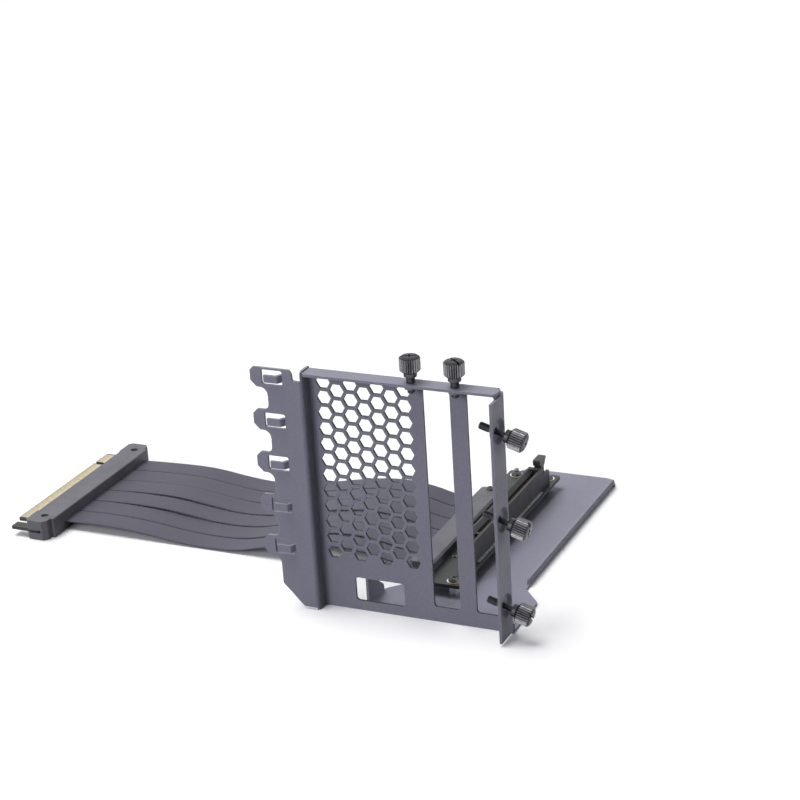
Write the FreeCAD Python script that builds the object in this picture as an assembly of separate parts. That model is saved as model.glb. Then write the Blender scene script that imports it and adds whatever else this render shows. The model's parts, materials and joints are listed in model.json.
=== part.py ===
import FreeCAD, Part
import math
import os

# Upright graphics card bracket: a folded steel sheet, hand screws and a ribbon riser.
# Millimetres. X runs along the rear plate, Y into the case, Z up.
# Construction starts at the plate's lower left front corner and is moved to ORIGIN at the end.

V = FreeCAD.Vector

# Sheet metal
SHEET = 1.2
BEND_IN = 0.8
PLATE_W = 91.4
PLATE_H = 115.0
CORNER_R = 1.5

# Rounds are rows of flats this many degrees apart
COARSE_FLAT_DEG = 30.0
FINE_FLAT_DEG = 18.0
FINE_FLAT_FROM = 1.6
ROUND_SIDES = 24
SMALL_SIDES = 16
SMALL_UP_TO = 1.61

# Top flange, bent to the front, takes the card's own bracket tab
TOP_DEPTH = 8.6
TOP_LEFT = 0.8
TOP_RIGHT_GAP = 0.5
STEP_RISE = 0.2
TAP_R = 1.75
TAP_COLLAR_R = 2.9
TAP_COLLAR_H = 1.4
TOP_SCREW_FROM_WINDOW = 2.8
TOP_SCREW_Y = -4.8

# Side flange, bent to the front, carries the captive hand screws
SIDE_DEPTH = 13.8
SIDE_LOW_GAP = 1.4
SIDE_TOP_GAP = 2.4
SIDE_SCREW_Y = -7.0
SIDE_SCREW_PITCH = 40.64
SIDE_SCREWS = 3
SIDE_DROOP_DEG = 17.0
DIMPLE_R = 5.8
DIMPLE_FLOOR_R = 4.2
DIMPLE_DEPTH = 1.4
CAPTIVE_HOLE_R = 1.6

# Card windows at the expansion slot pitch
SLOT_PITCH = 20.32
SLOTS = 2
SLOT_RIGHT_MARGIN = 4.68
SLOT_W = 12.5
SLOT_LOW = 7.1
SLOT_TOP_MARGIN = 4.4

# Card tongue slots behind the plate's foot
TONGUE_SLOT_W = 11.4
TONGUE_SLOT_D = 3.4

# Cable window low in the plate
CABLE_LEFT = 15.6
CABLE_W = 24.0
CABLE_LOW = 4.6
CABLE_H = 11.4

# Honeycomb vent
HEX_PITCH = 7.4
HEX_FLATS = 6.0
HEX_LEFT = 6.5
HEX_TOP_MARGIN = 6.2
HEX_LOW_LIMIT = 27.0
HEX_RIGHT_MARGIN = 5.0

# Hook flange on the left, stepped forward of the plate
STEP = 6.5
NECK_X = -17.5
HOOK_TIP_X = -25.5
HOOK_PITCH = 20.32
HOOKS = 5
HOOK_TOP_MARGIN = 4.1
HOOK_H = 9.8
HOOK_UPPER_CUT = 2.2
HOOK_LOWER_CUT = 2.8
HOOK_UPPER_R = 2.6
HOOK_LOWER_R = 3.6
HOOK_EDGE_R = 0.9
FLANGE_CORNER_R = 3.4
FLANGE_NOTCH_W = 3.9
FLANGE_NOTCH_DEPTH = 4.7
FLANGE_TOE_X = -7.5
FLANGE_TOE_Z = 1.0
FLANGE_CHAMFER_TOP_Z = 11.4
HOOK_WINDOW_LEFT = -20.0
HOOK_WINDOW_W = 10.2
HOOK_WINDOW_H = 6.9
SPRING_TONGUE_L = 8.0
SPRING_TONGUE_SLANT = 1.3
SPRING_TONGUE_H = 3.4
SPRING_TONGUE_OUT = 2.2

# Foot and arm under the card
FOOT_LEFT = 19.4
FOOT_LEFT_Y = 20.0
FOOT_RIGHT_Y = 28.5
FOOT_CUT = 11.0
ARM_LEFT_FROM_SOCKET = 22.2
ARM_RIGHT_INSET = 9.6
ARM_END_Y = 168.0
ARM_CORNER_R = 7.0
LIP_H = 4.6
LIP_END_GAP = 4.5
GUSSET_H = 17.0
GUSSET_GAP = 0.6

# Riser socket on the arm
STANDOFF_R = 3.0
STANDOFF_H = 5.0
BOARD_T = 1.6
BOARD_LEFT_FROM_SOCKET = 20.7
BOARD_RIGHT_FROM_SOCKET = 5.9
BOARD_NEAR_Y = 20.5
BOARD_FAR_MARGIN = 10.0
BOARD_SCREW_INSET = 5.0
BOARD_SCREW_R = 1.5
BOARD_SCREW_HEAD_R = 2.7
BOARD_SCREW_HEAD_H = 1.7
BOARD_SCREW_GRIP_SHARE = 0.7
SOCKET_FROM_WINDOW = 2.2
CARD_SLOT_NEAR_Y = 43.0
CARD_SLOT_L = 89.0
CARD_SLOT_W = 7.5
CARD_SLOT_H = 11.2
GROOVE_W = 1.8
GROOVE_DEPTH = 8.4
GROOVE_END = 2.6
KEY_FROM_NEAR = 13.2
KEY_W = 1.7

# Retention latch at the far end of the socket
LATCH_EAR_T = 1.5
LATCH_EAR_L = 8.0
LATCH_EAR_H = 7.2
LATCH_PIVOT_R = 0.9
LATCH_PIVOT_Y = 4.2
LATCH_PIVOT_Z = 4.6
LATCH_GAP = 0.35
LATCH_H = 14.5
LATCH_T = 3.4
LATCH_HOOK = 3.0
LATCH_BEAK = 1.8
LATCH_EDGE_R = 0.6
LATCH_BEAK_R = 0.3
RUNNING_GAP = 0.06

# Cable covers
COVER_W = 12.0
COVER_OVERHANG = 3.0
COVER_UP = 4.4
COVER_LIP_GAP = 0.3
COVER_MARGIN = 4.5
COVER_SCREW_R = 1.1
COVER_SCREW_HEAD_R = 2.0
COVER_SCREW_HEAD_H = 1.3
COVER_BEVEL = 1.0
COVER_END_CUT = 2.0

# Ribbon cable
STRIPS = 6
STRIP_W = 12.4
STRIP_T = 1.0
STRIP_GAP = 0.8
STRIP_NEAR_Y = 34.6
PLUG_FACE_X = -160.4
# along X from the socket cover to the plug: height of the nearest and of the furthest strip's middle line,
# and the share of each strip's own lift
CABLE_ROUTE = [
    (10.0, 7.2, 6.4, 0.0), (-14.0, 7.9, 4.6, 0.0), (-36.0, 7.4, 2.3, 0.0), (-50.0, 5.9, 1.2, 0.0),
    (-66.0, 1.3, 0.75, 0.0), (-83.0, 0.65, 0.72, 0.2), (-100.0, 1.5, 2.1, 1.0), (-118.0, 3.7, 4.6, 1.0),
    (-136.0, 4.7, 4.9, 0.5), (-150.0, 4.6, 4.6, 0.2),
]
STRIP_LIFT = [0.0, 0.6, 1.3, 1.5, 1.0, 0.3]
ARC_SHARE = 0.45

# Edge plug on the cable
PLUG_W = 13.6
PLUG_L = 101.4
PLUG_NEAR_Y = 19.2
PLUG_LOWER_H = 3.4
PLUG_UPPER_H = 5.0
PLUG_WALL = 5.0
PLUG_BEVEL = 0.35
PLUG_END_L = 11.0
PLUG_END_PROUD = 1.0
PLUG_TIP_L = 5.2
PLUG_TIP_SHY = 1.8
EDGE_END_MARGIN = 3.0
EDGE_OUT = 10.8
EDGE_NEAR_Y = 29.8
EDGE_L = 84.6
EDGE_KEY_FROM_FAR = 12.4
EDGE_KEY_W = 1.9
EDGE_KEY_END = 2.0
EDGE_TAB_OUT = 8.8
EDGE_TAB_W = 5.6
EDGE_TAB_INSET = 1.0
EDGE_LEAD_R = 0.8
EDGE_INNER_R = 0.6
FINGER_L = 7.4
FINGER_SIDE_GAP = 0.8
FINGER_T = 0.08
FINGER_EDGE_GAP = 0.5
PLUG_SCREW_INSET = 7.6
PLUG_SCREW_SINK = 1.4
PLUG_SINK_R = 1.9
PLUG_SCREW_HEAD_R = 1.7
PLUG_SCREW_HEAD_H = 0.9

# Hand screws
HEAD_R = 4.6
HEAD_L = 7.2
RIB_DEPTH = 0.4
RIBS = 24
DRIVE_SLOT_W = 1.3
DRIVE_SLOT_DEPTH = 1.8
COLLAR_R = 2.9
COLLAR_L = 2.2
THREAD_R = 1.72
TOP_NECK_R = 1.9
TOP_NECK_L = 2.8
TOP_THREAD_L = 4.6
CAPTIVE_NECK_R = 1.15
CAPTIVE_NECK_OUT = 5.0
CAPTIVE_NECK_IN = 1.9
CAPTIVE_THREAD_L = 5.0

# Values that follow from the sizes above
BEND_OUT = BEND_IN + SHEET
SLOT_LEFT = PLATE_W - SLOT_RIGHT_MARGIN - SLOT_W - (SLOTS - 1) * SLOT_PITCH
SLOT_TOP = PLATE_H - SLOT_TOP_MARGIN
TOP_SCREW_X = SLOT_LEFT - TOP_SCREW_FROM_WINDOW
SIDE_SCREW_Z = (PLATE_H - (SIDE_SCREWS - 1) * SIDE_SCREW_PITCH) / 2
HOOK_TOP_Z = PLATE_H - HOOK_TOP_MARGIN
FLANGE_NOTCH_Z = PLATE_H - FLANGE_NOTCH_DEPTH
HEX_TOP = PLATE_H - HEX_TOP_MARGIN
HEX_COLUMN_STEP = HEX_PITCH * math.cos(math.radians(30))
HEX_ROWS = 1 + int((HEX_TOP - HEX_LOW_LIMIT) / HEX_PITCH)
HEX_COLUMNS = 1 + int((SLOT_LEFT - HEX_RIGHT_MARGIN - HEX_LEFT) / HEX_COLUMN_STEP)
CARD_SLOT_X = SLOT_LEFT - SOCKET_FROM_WINDOW
ARM_LEFT = CARD_SLOT_X - ARM_LEFT_FROM_SOCKET
ARM_RIGHT = PLATE_W - ARM_RIGHT_INSET
BOARD_LEFT = CARD_SLOT_X - BOARD_LEFT_FROM_SOCKET
BOARD_RIGHT = CARD_SLOT_X + BOARD_RIGHT_FROM_SOCKET
BOARD_FAR_Y = CARD_SLOT_NEAR_Y + CARD_SLOT_L + LATCH_EAR_L + BOARD_FAR_MARGIN
BOARD_Z = SHEET + STANDOFF_H
BOARD_TOP = BOARD_Z + BOARD_T
COVER_FACE_X = BOARD_LEFT - COVER_OVERHANG
STRIP_STEP = STRIP_W + STRIP_GAP
CABLE_W_ALL = STRIPS * STRIP_STEP - STRIP_GAP
COVER_NEAR_Y = STRIP_NEAR_Y - COVER_MARGIN
COVER_L = CABLE_W_ALL + 2 * COVER_MARGIN
PLUG_LEFT_X = PLUG_FACE_X - PLUG_W
ORIGIN = V(CARD_SLOT_X, (BEND_OUT + ARM_END_Y) / 2, 0)


def flat_xy(z):
    return lambda u, v: V(u, v, z)


def flat_xz(y):
    return lambda u, v: V(u, y, v)


def flat_yz(x):
    return lambda u, v: V(x, u, v)


def corner_arc(before, point, after, radius):
    """Centre, start angle and turn of the arc that rounds one corner of an outline, with its two ends."""
    ax, ay = before[0] - point[0], before[1] - point[1]
    bx, by = after[0] - point[0], after[1] - point[1]
    la, lb = math.hypot(ax, ay), math.hypot(bx, by)
    ax, ay, bx, by = ax / la, ay / la, bx / lb, by / lb
    half = math.acos(max(-1.0, min(1.0, ax * bx + ay * by))) / 2
    reach = radius / math.tan(half)
    lm = math.hypot(ax + bx, ay + by)
    away = radius / math.sin(half)
    cx, cy = point[0] + (ax + bx) / lm * away, point[1] + (ay + by) / lm * away
    start = (point[0] + ax * reach, point[1] + ay * reach)
    end = (point[0] + bx * reach, point[1] + by * reach)
    first = math.atan2(start[1] - cy, start[0] - cx)
    turn = math.atan2(end[1] - cy, end[0] - cx) - first
    turn = (turn + math.pi) % (2 * math.pi) - math.pi
    return (cx, cy), first, turn, start, end


def outline(corners, plane):
    """A face from corners (u, v, radius); each rounded corner is a row of short flats on its arc."""
    points = []
    count = len(corners)
    for i, (u, v, radius) in enumerate(corners):
        if radius <= 0:
            points.append((u, v))
            continue
        after = corners[(i + 1) % count]
        (cx, cy), first, turn, start, end = corner_arc(corners[i - 1], (u, v), after, radius)
        step = FINE_FLAT_DEG if radius > FINE_FLAT_FROM else COARSE_FLAT_DEG
        flats = max(2, round(abs(math.degrees(turn)) / step))
        for k in range(flats + 1):
            angle = first + turn * k / flats
            points.append((cx + radius * math.cos(angle), cy + radius * math.sin(angle)))
    ring = [plane(u, v) for u, v in points]
    return Part.Face(Part.makePolygon(ring + ring[:1]))


def sides_for(radius):
    return SMALL_SIDES if radius < SMALL_UP_TO else ROUND_SIDES


def many_sided(radius, sides, length, at, axis):
    ring = []
    for k in range(sides):
        angle = 2 * math.pi * k / sides
        ring.append(V(radius * math.cos(angle), radius * math.sin(angle), 0))
    shape = Part.Face(Part.makePolygon(ring + ring[:1])).extrude(V(0, 0, length))
    shape.Placement = FreeCAD.Placement(at, FreeCAD.Rotation(V(0, 0, 1), axis))
    return shape


def rod(radius, length, at, axis=V(0, 0, 1)):
    """A round bar with its corners on the radius."""
    return many_sided(radius, sides_for(radius), length, at, axis)


def bore(radius, length, at, axis=V(0, 0, 1)):
    """A round hole with its flats on the radius, so that a rod of the same radius turns in it."""
    sides = sides_for(radius)
    return many_sided(radius / math.cos(math.pi / sides), sides, length, at, axis)


def dish(radius, floor_radius, depth, at, axis):
    """A shallow cone with flats like those of the rods."""
    rings = []
    for r, height in ((radius, 0), (floor_radius, depth)):
        ring = []
        for k in range(ROUND_SIDES):
            angle = 2 * math.pi * k / ROUND_SIDES
            ring.append(V(r * math.cos(angle), r * math.sin(angle), height))
        rings.append(Part.Wire(Part.makePolygon(ring + ring[:1])))
    shape = Part.makeLoft(rings, True, True)
    shape.Placement = FreeCAD.Placement(at, FreeCAD.Rotation(V(0, 0, 1), axis))
    return shape


def block(x0, x1, y0, y1, z0, z1):
    return Part.makeBox(x1 - x0, y1 - y0, z1 - z0, V(x0, y0, z0))


def rect(u0, u1, v0, v1, radius):
    return [(u0, v0, radius), (u1, v0, radius), (u1, v1, radius), (u0, v1, radius)]


def all_of(shapes):
    return shapes[0].fuse(shapes[1:]) if len(shapes) > 1 else shapes[0]


def upright_walls():
    """Hook flange, step, plate and side flange: one section drawn from above and raised."""
    right_in = PLATE_W - SHEET
    section = [
        (HOOK_TIP_X, -STEP, 0), (0, -STEP, BEND_OUT), (0, 0, BEND_IN),
        (right_in, 0, BEND_IN), (right_in, -SIDE_DEPTH, 0), (PLATE_W, -SIDE_DEPTH, 0),
        (PLATE_W, SHEET, BEND_OUT), (-SHEET, SHEET, BEND_OUT),
        (-SHEET, SHEET - STEP, BEND_IN), (HOOK_TIP_X, SHEET - STEP, 0),
    ]
    return outline(section, flat_xy(0)).extrude(V(0, 0, PLATE_H + STEP_RISE))


def hook_flange_outline():
    """The hook flange seen from the front, from its upper right corner round the hooks to its toe."""
    half = HOOK_H / 2
    first_top = HOOK_TOP_Z + half
    right = -SHEET - FLANGE_NOTCH_W
    points = [(right, FLANGE_NOTCH_Z, HOOK_EDGE_R), (right, first_top, FLANGE_CORNER_R)]
    for i in range(HOOKS):
        z = HOOK_TOP_Z - i * HOOK_PITCH
        if i > 0:
            points.append((NECK_X, z + half, HOOK_UPPER_R))
        points.append((HOOK_TIP_X + HOOK_UPPER_CUT, z + half, HOOK_EDGE_R))
        points.append((HOOK_TIP_X, z + half - HOOK_UPPER_CUT, HOOK_EDGE_R))
        points.append((HOOK_TIP_X, z - half + HOOK_LOWER_CUT, HOOK_EDGE_R))
        points.append((HOOK_TIP_X + HOOK_LOWER_CUT, z - half, HOOK_EDGE_R))
        points.append((NECK_X, z - half, HOOK_LOWER_R))
    points.append((NECK_X, FLANGE_CHAMFER_TOP_Z, CORNER_R))
    points.append((FLANGE_TOE_X, FLANGE_TOE_Z, CORNER_R))
    points.append((PLATE_W, FLANGE_TOE_Z, 0))
    points.append((PLATE_W, FLANGE_NOTCH_Z, 0))
    return points


def trimmed_walls():
    """The raised section, cut to the front outline of each flange."""
    walls = upright_walls()
    back = SHEET + 1
    above = PLATE_H + STEP_RISE + 1
    hook_zone = block(HOOK_TIP_X - 1, -SHEET, -STEP - 1, back, -1, above)
    hooks = outline(hook_flange_outline(), flat_xz(-STEP - 1)).extrude(V(0, STEP + 2 + back, 0))
    walls = walls.cut(hook_zone.cut(hooks))
    front = -SIDE_DEPTH - 1
    side_left = PLATE_W - BEND_OUT
    side_top = PLATE_H - SIDE_TOP_GAP
    top_corner = rect(front, -BEND_IN, side_top, above, 0)
    walls = walls.cut(outline(top_corner, flat_yz(side_left)).extrude(V(2 * BEND_OUT, 0, 0)))
    low = rect(front, -BEND_IN, -1, SIDE_LOW_GAP, 0)
    walls = walls.cut(outline(low, flat_yz(side_left)).extrude(V(2 * BEND_OUT, 0, 0)))
    walls = walls.cut(block(0, PLATE_W + 1, -SIDE_DEPTH - 1, back, PLATE_H - BEND_OUT, above))
    step_top = rect(-STEP - 1, back, PLATE_H - BEND_OUT, above - 1, 0)
    step_top[3] = (-STEP, above - 1, BEND_OUT)
    step_top[0] = (-STEP, PLATE_H - BEND_OUT, 0)
    keep = outline(step_top, flat_yz(-SHEET - 1)).extrude(V(SHEET + 2, 0, 0))
    zone = block(-SHEET, 1, -STEP - 2, back + 1, PLATE_H - BEND_OUT, above)
    return walls.cut(zone.cut(keep))


def top_flange():
    """Flange with a narrower root, so that it clears the side flange's bend."""
    right_end = PLATE_W - TOP_RIGHT_GAP
    root_end = PLATE_W - BEND_OUT
    root = PLATE_H - 2 * BEND_OUT
    section = [
        (0, root, 0), (0, PLATE_H - SHEET, BEND_IN), (-TOP_DEPTH, PLATE_H - SHEET, 0),
        (-TOP_DEPTH, PLATE_H, 0), (SHEET, PLATE_H, BEND_OUT), (SHEET, root, 0),
    ]
    flange = outline(section, flat_yz(TOP_LEFT)).extrude(V(right_end - TOP_LEFT, 0, 0))
    plan = [
        (TOP_LEFT, -TOP_DEPTH, CORNER_R), (right_end, -TOP_DEPTH, CORNER_R), (right_end, -BEND_OUT, 0),
        (root_end, -BEND_OUT, 0), (root_end, SHEET, 0), (TOP_LEFT, SHEET, 0),
    ]
    flange = flange.common(outline(plan, flat_xy(root - 1)).extrude(V(0, 0, PLATE_H - root + 2)))
    for i in range(SLOTS):
        at = V(TOP_SCREW_X + i * SLOT_PITCH, TOP_SCREW_Y, PLATE_H - SHEET - TAP_COLLAR_H)
        flange = flange.fuse(rod(TAP_COLLAR_R, SHEET + TAP_COLLAR_H, at))
        flange = flange.cut(bore(TAP_R, SHEET + TAP_COLLAR_H, at))
    return flange


def arm_outline():
    """Foot and arm from above: wide at the plate, narrowed by sloping sides."""
    return [
        (FOOT_LEFT, 0, 0), (PLATE_W, 0, 0), (PLATE_W, FOOT_RIGHT_Y, CORNER_R),
        (ARM_RIGHT, FOOT_RIGHT_Y + FOOT_CUT, CORNER_R), (ARM_RIGHT, ARM_END_Y, ARM_CORNER_R),
        (ARM_LEFT, ARM_END_Y, ARM_CORNER_R), (ARM_LEFT, FOOT_LEFT_Y + FOOT_CUT, CORNER_R),
        (FOOT_LEFT, FOOT_LEFT_Y, CORNER_R),
    ]


def edge_lip(x, inward, y0, y1, heights):
    """A wall turned up from the arm's edge at x; heights are its tops at y0 and y1."""
    root = x + inward * 3 * BEND_OUT
    tall = max(heights)
    section = [
        (root, 0, 0), (x, 0, BEND_OUT), (x, tall, 0),
        (x + inward * SHEET, tall, 0), (x + inward * SHEET, SHEET, BEND_IN), (root, SHEET, 0),
    ]
    wall = outline(section, flat_xz(y0)).extrude(V(0, y1 - y0, 0))
    side = [(y0, 0, 0), (y1, 0, 0), (y1, heights[1], CORNER_R), (y0, heights[0], CORNER_R)]
    low = min(root, x) - 1
    span = abs(root - x) + 2
    return wall.common(outline(side, flat_yz(low)).extrude(V(span, 0, 0)))


def foot_and_arm():
    root = 2 * BEND_OUT
    section = [
        (0, root, 0), (0, 0, BEND_OUT), (ARM_END_Y, 0, 0),
        (ARM_END_Y, SHEET, 0), (SHEET, SHEET, BEND_IN), (SHEET, root, 0),
    ]
    sheet = outline(section, flat_yz(FOOT_LEFT)).extrude(V(PLATE_W - FOOT_LEFT, 0, 0))
    shape = outline(arm_outline(), flat_xy(-1)).extrude(V(0, 0, root + 2))
    sheet = sheet.common(shape)
    right_y = FOOT_RIGHT_Y + FOOT_CUT + LIP_END_GAP
    left_y = FOOT_LEFT_Y + FOOT_CUT + LIP_END_GAP
    lip_end = ARM_END_Y - ARM_CORNER_R
    right_lip = edge_lip(ARM_RIGHT, -1, right_y, lip_end, (LIP_H, LIP_H))
    left_lip = edge_lip(ARM_LEFT, 1, left_y, lip_end, (LIP_H, LIP_H))
    gusset_y = BEND_OUT + GUSSET_GAP
    gusset = edge_lip(FOOT_LEFT, 1, gusset_y, FOOT_LEFT_Y - CORNER_R, (GUSSET_H, LIP_H))
    trimmed = sheet
    edges = ((ARM_RIGHT - BEND_OUT, ARM_RIGHT + 1, right_y, lip_end),
             (ARM_LEFT - 1, ARM_LEFT + BEND_OUT, left_y, lip_end),
             (FOOT_LEFT - 1, FOOT_LEFT + BEND_OUT, gusset_y, FOOT_LEFT_Y - CORNER_R))
    for x0, x1, y0, y1 in edges:
        trimmed = trimmed.cut(block(x0, x1, y0, y1, -1, BEND_OUT))
    sheet = trimmed.fuse([right_lip, left_lip, gusset])
    for i in range(SLOTS):
        middle = SLOT_LEFT + SLOT_W / 2 + i * SLOT_PITCH
        half = TONGUE_SLOT_W / 2
        sheet = sheet.cut(block(middle - half, middle + half, SHEET, SHEET + TONGUE_SLOT_D, -1, BEND_OUT))
    return sheet


def honeycomb():
    """Hexagonal holes in columns, every second column half a pitch lower and one hole shorter."""
    holes = []
    reach = HEX_FLATS / 2 / math.cos(math.radians(30))
    for column in range(HEX_COLUMNS):
        x = HEX_LEFT + column * HEX_COLUMN_STEP
        odd = column % 2
        for row in range(HEX_ROWS - odd):
            z = HEX_TOP - (row + odd / 2) * HEX_PITCH
            points = []
            for k in range(6):
                angle = math.radians(60 * k)
                points.append((x + reach * math.cos(angle), z + reach * math.sin(angle), 0))
            holes.append(outline(points, flat_xz(-1)).extrude(V(0, SHEET + 2, 0)))
    return holes


def plate_windows():
    cuts = []
    for i in range(SLOTS):
        x = SLOT_LEFT + i * SLOT_PITCH
        cuts.append(outline(rect(x, x + SLOT_W, SLOT_LOW, SLOT_TOP, CORNER_R), flat_xz(-1)))
    cable = rect(CABLE_LEFT, CABLE_LEFT + CABLE_W, CABLE_LOW, CABLE_LOW + CABLE_H, CORNER_R)
    cuts.append(outline(cable, flat_xz(-1)))
    return [face.extrude(V(0, SHEET + 2, 0)) for face in cuts]


def with_hook_springs(walls):
    """Each hook has a window with a lanced tongue stepped to the front."""
    right = HOOK_WINDOW_LEFT + HOOK_WINDOW_W
    front = -STEP - SPRING_TONGUE_OUT
    for i in range(HOOKS):
        z = HOOK_TOP_Z - i * HOOK_PITCH
        half = HOOK_WINDOW_H / 2
        opening = rect(HOOK_WINDOW_LEFT, right, z - half, z + half, HOOK_EDGE_R)
        walls = walls.cut(outline(opening, flat_xz(-STEP - 1)).extrude(V(0, SHEET + 2, 0)))
        section = [
            (right + SHEET, -STEP, 0), (right, -STEP, 0), (right - SPRING_TONGUE_SLANT, front, SHEET),
            (right - SPRING_TONGUE_L, front, 0), (right - SPRING_TONGUE_L, front + SHEET, 0),
            (right - SHEET - SPRING_TONGUE_SLANT, front + SHEET, 0), (right - SHEET, SHEET - STEP, SHEET),
            (right + SHEET, SHEET - STEP, 0),
        ]
        tongue = outline(section, flat_xy(z - SPRING_TONGUE_H / 2)).extrude(V(0, 0, SPRING_TONGUE_H))
        walls = walls.fuse(tongue)
    return walls


def with_dimples(walls):
    """Round dishes pressed into the side flange, each with a hole for a captive screw."""
    outer = PLATE_W
    inner = PLATE_W - SHEET
    inward = V(-1, 0, 0)
    for i in range(SIDE_SCREWS):
        y, z = SIDE_SCREW_Y, SIDE_SCREW_Z + i * SIDE_SCREW_PITCH
        boss = dish(DIMPLE_R, DIMPLE_FLOOR_R, DIMPLE_DEPTH, V(inner, y, z), inward)
        hollow = dish(DIMPLE_R, DIMPLE_FLOOR_R, DIMPLE_DEPTH, V(outer, y, z), inward)
        hole = bore(CAPTIVE_HOLE_R, SHEET + DIMPLE_DEPTH + 2, V(outer + 1, y, z), inward)
        walls = walls.fuse(boss).cut(hollow).cut(hole)
    return walls


def rear_bracket():
    walls = with_dimples(with_hook_springs(trimmed_walls()))
    sheet = walls.fuse([top_flange(), foot_and_arm()])
    sheet = sheet.cut(plate_windows())
    sheet = sheet.cut(Part.makeCompound(honeycomb()))
    return sheet.removeSplitter()


def ribbed_head():
    """Knurled hand screw head from z = 0 up, with a drive slot across its top."""
    points = []
    for k in range(RIBS):
        for share, radius in ((0.0, HEAD_R), (0.5, HEAD_R - RIB_DEPTH)):
            angle = 2 * math.pi * (k + share) / RIBS
            points.append((radius * math.cos(angle), radius * math.sin(angle), 0))
    head = outline(points, flat_xy(0)).extrude(V(0, 0, HEAD_L))
    w = DRIVE_SLOT_W / 2
    return head.cut(block(-HEAD_R, HEAD_R, -w, w, HEAD_L - DRIVE_SLOT_DEPTH, HEAD_L + 1))


def turned(steps, start):
    """A turned shank from (radius, length) steps; the first, at the given height, is the round thread."""
    radius, length = steps[0]
    pieces = [Part.makeCylinder(radius, length, V(0, 0, start))]
    z = start + length
    for radius, length in steps[1:]:
        pieces.append(rod(radius, length, V(0, 0, z)))
        z += length
    return pieces


def top_thumbscrew(x):
    """Hand screw standing in the top flange; its own zero is where its thread ends."""
    shank = turned([(THREAD_R, TOP_THREAD_L), (TOP_NECK_R, TOP_NECK_L), (COLLAR_R, COLLAR_L)], 0)
    head = ribbed_head()
    head.translate(V(0, 0, TOP_THREAD_L + TOP_NECK_L + COLLAR_L))
    screw = all_of([head] + shank).removeSplitter()
    screw.translate(V(x, TOP_SCREW_Y, PLATE_H - TOP_THREAD_L))
    return screw


def side_thumbscrew(z):
    """Captive hand screw hanging in its dished hole, tipped down by its own weight."""
    start = -CAPTIVE_NECK_IN - CAPTIVE_THREAD_L
    neck = CAPTIVE_NECK_IN + CAPTIVE_NECK_OUT
    shank = turned([(THREAD_R, CAPTIVE_THREAD_L), (CAPTIVE_NECK_R, neck), (COLLAR_R, COLLAR_L)], start)
    head = ribbed_head()
    head.translate(V(0, 0, CAPTIVE_NECK_OUT + COLLAR_L))
    screw = all_of([head] + shank).removeSplitter()
    screw.rotate(V(0, 0, 0), V(0, 1, 0), 90 + SIDE_DROOP_DEG)
    screw.translate(V(PLATE_W - DIMPLE_DEPTH - SHEET / 2, SIDE_SCREW_Y, z))
    return screw


def board_screw_places():
    x0, x1 = BOARD_LEFT + BOARD_SCREW_INSET, BOARD_RIGHT - BOARD_SCREW_INSET
    y0, y1 = BOARD_NEAR_Y + BOARD_SCREW_INSET, BOARD_FAR_Y - BOARD_SCREW_INSET
    return [(x0, y0), (x1, y0), (x0, y1), (x1, y1)]


def socket_board():
    board = outline(rect(BOARD_LEFT, BOARD_RIGHT, BOARD_NEAR_Y, BOARD_FAR_Y, CORNER_R), flat_xy(BOARD_Z))
    board = board.extrude(V(0, 0, BOARD_T))
    holes = [bore(BOARD_SCREW_R, BOARD_T, V(x, y, BOARD_Z)) for x, y in board_screw_places()]
    return board.cut(holes)


def board_standoffs():
    posts = []
    for x, y in board_screw_places():
        corners = []
        for k in range(6):
            angle = math.radians(60 * k)
            corners.append((x + STANDOFF_R * math.cos(angle), y + STANDOFF_R * math.sin(angle), 0))
        post = outline(corners, flat_xy(SHEET)).extrude(V(0, 0, STANDOFF_H))
        posts.append(post.cut(bore(BOARD_SCREW_R, STANDOFF_H, V(x, y, SHEET))))
    return Part.makeCompound(posts)


def pan_screw(x, y, under_head, radius, length, head_r, head_h):
    """Small screw: a plain shank and a flat head."""
    shank = rod(radius, length, V(x, y, under_head - length))
    return shank.fuse(rod(head_r, head_h, V(x, y, under_head))).removeSplitter()


def board_screws():
    length = BOARD_T + STANDOFF_H * BOARD_SCREW_GRIP_SHARE
    sizes = (BOARD_SCREW_R, length, BOARD_SCREW_HEAD_R, BOARD_SCREW_HEAD_H)
    return Part.makeCompound([pan_screw(x, y, BOARD_TOP, *sizes) for x, y in board_screw_places()])


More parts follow.
